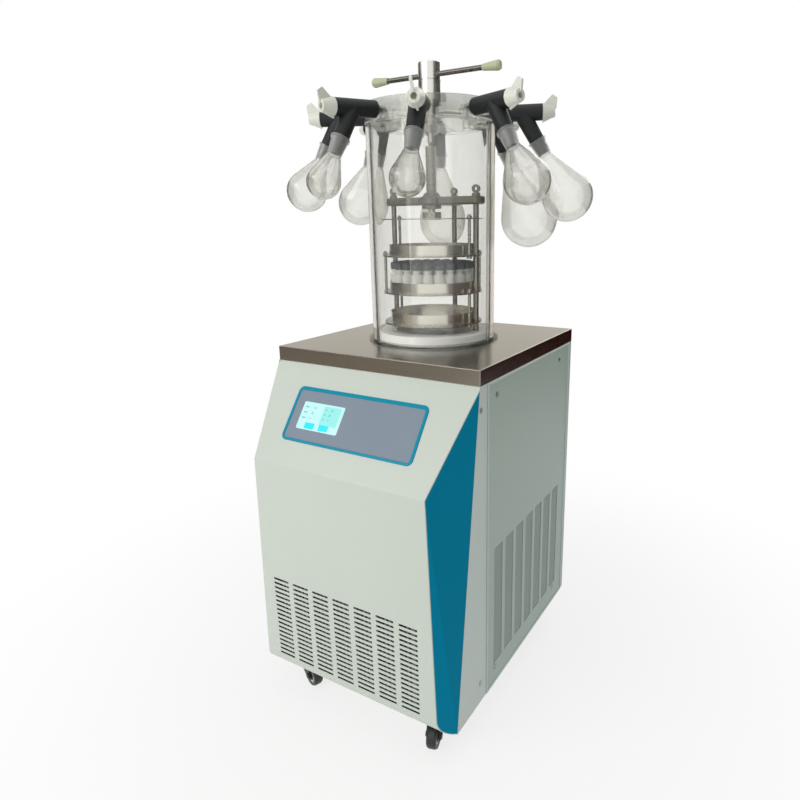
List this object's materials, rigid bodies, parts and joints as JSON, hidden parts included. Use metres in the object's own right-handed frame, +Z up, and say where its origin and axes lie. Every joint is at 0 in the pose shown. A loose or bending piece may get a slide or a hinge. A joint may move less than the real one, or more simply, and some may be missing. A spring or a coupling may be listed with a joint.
{
  "type": "freeze dryer",
  "caption": "Floor-standing laboratory freeze dryer: steel cabinet on casters, clear drying chamber with a stoppering rack of trays and vials, and flask valves round its lid.",
  "frame": {"origin": "on the floor under the axis of the drying chamber, near the middle of the footprint", "axes": "+X to the right seen from the front, +Y to the back, +Z up along the chamber's axis"},
  "size_m": [0.6087, 0.6995, 1.282],
  "materials": {
    "pan_steel": "satin",
    "frame_steel": "satin",
    "front_paint": "satin powder coat",
    "teal_paint": "satin powder coat",
    "strip_paint": "satin powder coat",
    "side_paint": "satin powder coat",
    "worktop_steel": "brushed",
    "screw_steel": "satin",
    "bezel_film": "satin film",
    "screen_glass": "lit screen",
    "trap_steel": "satin",
    "foam": "foam",
    "black_enamel": "gloss",
    "fin_aluminium": "mill",
    "fan_plastic": "moulded",
    "case_steel": "zinc",
    "inlet_plastic": "moulded",
    "port_steel": "turned",
    "brass": "nickelled",
    "lever_steel": "satin",
    "caster_steel": "zinc",
    "tyre_rubber": "moulded",
    "pedal_plastic": "moulded",
    "seal_silicone": "translucent",
    "white_plastic": "turned",
    "ring_steel": "turned",
    "acrylic_tube": "polished",
    "acrylic_lid": "polished",
    "gland_steel": "turned",
    "handle_steel": "turned",
    "cap_plastic": "moulded",
    "post_steel": "polished",
    "bridge_steel": "turned",
    "screw_thread_steel": "threaded",
    "plate_steel": "rolled",
    "shelf_steel": "rolled",
    "tray_steel": "spun",
    "vial_glass": "blown",
    "stopper_rubber": "moulded",
    "valve_rubber": "moulded",
    "flask_glass": "blown",
    "plug_plastic": "moulded"
  },
  "bodies": {
    "cabinet": {"base_pan": "pan_steel", "frame": "frame_steel", "front_panel": "front_paint", "corner_cheeks": "teal_paint", "corner_strips": "strip_paint", "side_panels": "side_paint", "rear_panel": "side_paint", "top_plate": "worktop_steel", "panel_screws": "screw_steel", "display_bezel": "bezel_film", "touch_screen": "screen_glass", "cold_trap": "trap_steel", "trap_insulation": "foam", "compressor": "black_enamel", "condenser": "fin_aluminium", "fan_cowl": "fan_plastic", "control_box": "case_steel", "power_inlet": "inlet_plastic", "vacuum_port": "port_steel", "drain_valve": "brass", "chamber_seals": "seal_silicone", "base_ring": "white_plastic", "support_ring": "ring_steel", "chamber_tube": "acrylic_tube", "chamber_lid": "acrylic_lid", "gland": "gland_steel", "guide_posts": "post_steel", "bridge_plate": "bridge_steel", "valve_bodies": "valve_rubber", "flasks": "flask_glass"},
    "handle": {"handle_hub": "handle_steel"},
    "bar": {"tee_bar": "handle_steel", "bar_caps": "cap_plastic"},
    "rack": {"stopper_plate": "plate_steel", "shelves": "shelf_steel", "trays": "tray_steel", "vials": "vial_glass", "stoppers": "stopper_rubber"},
    "press_screw": {"press_screw": "screw_thread_steel"},
    "valve_plug_1": {"valve_plug_1": "plug_plastic"},
    "valve_plug_2": {"valve_plug_2": "plug_plastic"},
    "valve_plug_3": {"valve_plug_3": "plug_plastic"},
    "valve_plug_4": {"valve_plug_4": "plug_plastic"},
    "valve_plug_5": {"valve_plug_5": "plug_plastic"},
    "valve_plug_6": {"valve_plug_6": "plug_plastic"},
    "valve_plug_7": {"valve_plug_7": "plug_plastic"},
    "valve_plug_8": {"valve_plug_8": "plug_plastic"},
    "fan": {"fan_rotor": "fan_plastic"},
    "caster_fl": {"caster_fork_fl": "caster_steel"},
    "wheel_fl": {"caster_wheel_fl": "tyre_rubber"},
    "caster_fr": {"caster_fork_fr": "caster_steel"},
    "wheel_fr": {"caster_wheel_fr": "tyre_rubber"},
    "caster_rl": {"caster_fork_rl": "caster_steel"},
    "wheel_rl": {"caster_wheel_rl": "tyre_rubber"},
    "caster_rr": {"caster_fork_rr": "caster_steel"},
    "wheel_rr": {"caster_wheel_rr": "tyre_rubber"},
    "brake_fl": {"brake_pedal_fl": "pedal_plastic"},
    "brake_fr": {"brake_pedal_fr": "pedal_plastic"},
    "rocker": {"power_switch": "inlet_plastic"},
    "drain_lever": {"drain_lever": "lever_steel"}
  },
  "joints": [
    {"name": "handle_turn", "type": "hinge", "parent": "cabinet", "child": "handle", "pos_m": [0, 0, 1.265], "axis": [0, 0, -1], "range_deg": [-540.5, 324.5]},
    {"name": "bar_slide", "type": "slide", "parent": "handle", "child": "bar", "axis": [1, 0, 0], "range_m": [-0.09, 0.07]},
    {"name": "rack_press", "type": "slide", "parent": "cabinet", "child": "rack", "axis": [0, 0, -1], "range_m": [-0.006, 0.0036]},
    {"name": "press_screw_turn", "type": "hinge", "parent": "rack", "child": "press_screw", "pos_m": [0, 0, 1.08], "axis": [0, 0, -1], "range_deg": [-545, 330]},
    {"name": "valve_1_turn", "type": "hinge", "parent": "cabinet", "child": "valve_plug_1", "pos_m": [0.08543, -0.18072, 1.18027], "axis": [0.4267, -0.9028, -0.0541], "range_deg": [0, 180]},
    {"name": "valve_2_turn", "type": "hinge", "parent": "cabinet", "child": "valve_plug_2", "pos_m": [0.18827, -0.06741, 1.18581], "axis": [0.9411, -0.337, 0.0262], "range_deg": [0, 180]},
    {"name": "valve_3_turn", "type": "hinge", "parent": "cabinet", "child": "valve_plug_3", "pos_m": [0.1808, 0.08546, 1.18545], "axis": [0.9039, 0.4273, 0.0209], "range_deg": [0, 180]},
    {"name": "valve_4_turn", "type": "hinge", "parent": "cabinet", "child": "valve_plug_4", "pos_m": [0.06742, 0.18829, 1.184], "axis": [0.3371, 0.9415, 0], "range_deg": [0, 180]},
    {"name": "valve_5_turn", "type": "hinge", "parent": "cabinet", "child": "valve_plug_5", "pos_m": [-0.08547, 0.18082, 1.184], "axis": [-0.4274, 0.9041, 0], "range_deg": [0, 180]},
    {"name": "valve_6_turn", "type": "hinge", "parent": "cabinet", "child": "valve_plug_6", "pos_m": [-0.18829, 0.06742, 1.184], "axis": [-0.9415, 0.3371, 0], "range_deg": [0, 180]},
    {"name": "valve_7_turn", "type": "hinge", "parent": "cabinet", "child": "valve_plug_7", "pos_m": [-0.18082, -0.08547, 1.184], "axis": [-0.9041, -0.4274, 0], "range_deg": [0, 180]},
    {"name": "valve_8_turn", "type": "hinge", "parent": "cabinet", "child": "valve_plug_8", "pos_m": [-0.0674, -0.18824, 1.18123], "axis": [-0.3368, -0.9407, -0.0401], "range_deg": [0, 180]},
    {"name": "fan_spin", "type": "hinge", "parent": "cabinet", "child": "fan", "pos_m": [0, -0.28, 0.198], "axis": [0, 1, 0], "continuous": true},
    {"name": "caster_swivel_fl", "type": "hinge", "parent": "cabinet", "child": "caster_fl", "pos_m": [-0.165, -0.2807, 0.06], "axis": [0, 0, 1], "continuous": true},
    {"name": "wheel_spin_fl", "type": "hinge", "parent": "caster_fl", "child": "wheel_fl", "pos_m": [-0.14527, -0.28788, 0.025], "axis": [0.342, 0.9397, 0], "continuous": true},
    {"name": "caster_swivel_fr", "type": "hinge", "parent": "cabinet", "child": "caster_fr", "pos_m": [0.165, -0.2807, 0.06], "axis": [0, 0, 1], "continuous": true},
    {"name": "wheel_spin_fr", "type": "hinge", "parent": "caster_fr", "child": "wheel_fr", "pos_m": [0.17044, -0.30098, 0.025], "axis": [0.9659, 0.2588, 0], "continuous": true},
    {"name": "caster_swivel_rl", "type": "hinge", "parent": "cabinet", "child": "caster_rl", "pos_m": [-0.165, 0.1733, 0.06], "axis": [0, 0, 1], "continuous": true},
    {"name": "wheel_spin_rl", "type": "hinge", "parent": "caster_rl", "child": "wheel_rl", "pos_m": [-0.1545, 0.15511, 0.025], "axis": [0.866, 0.5, 0], "continuous": true},
    {"name": "caster_swivel_rr", "type": "hinge", "parent": "cabinet", "child": "caster_rr", "pos_m": [0.165, 0.1733, 0.06], "axis": [0, 0, 1], "continuous": true},
    {"name": "wheel_spin_rr", "type": "hinge", "parent": "caster_rr", "child": "wheel_rr", "pos_m": [0.17985, 0.15845, 0.025], "axis": [0.7071, 0.7071, 0], "continuous": true},
    {"name": "brake_press_fl", "type": "hinge", "parent": "caster_fl", "child": "brake_fl", "pos_m": [-0.17628, -0.2766, 0.048], "axis": [-0.342, -0.9397, 0], "range_deg": [0, 15]},
    {"name": "brake_press_fr", "type": "hinge", "parent": "caster_fr", "child": "brake_fr", "pos_m": [0.16189, -0.26911, 0.048], "axis": [-0.9659, -0.2588, 0], "range_deg": [0, 15]},
    {"name": "rocker_tip", "type": "hinge", "parent": "cabinet", "child": "rocker", "pos_m": [-0.15, 0.225, 0.164], "axis": [1, 0, 0], "range_deg": [-8, 8]},
    {"name": "drain_lever_turn", "type": "hinge", "parent": "cabinet", "child": "drain_lever", "pos_m": [0, 0.2505, 0.53], "axis": [0, 0, 1], "range_deg": [0, 90]}
  ],
  "couplings": [
    {"joint": "handle_turn", "follows": "rack_press", "rad_per_m": 1570.8},
    {"joint": "press_screw_turn", "follows": "rack_press", "rad_per_m": 1570.8}
  ]
}
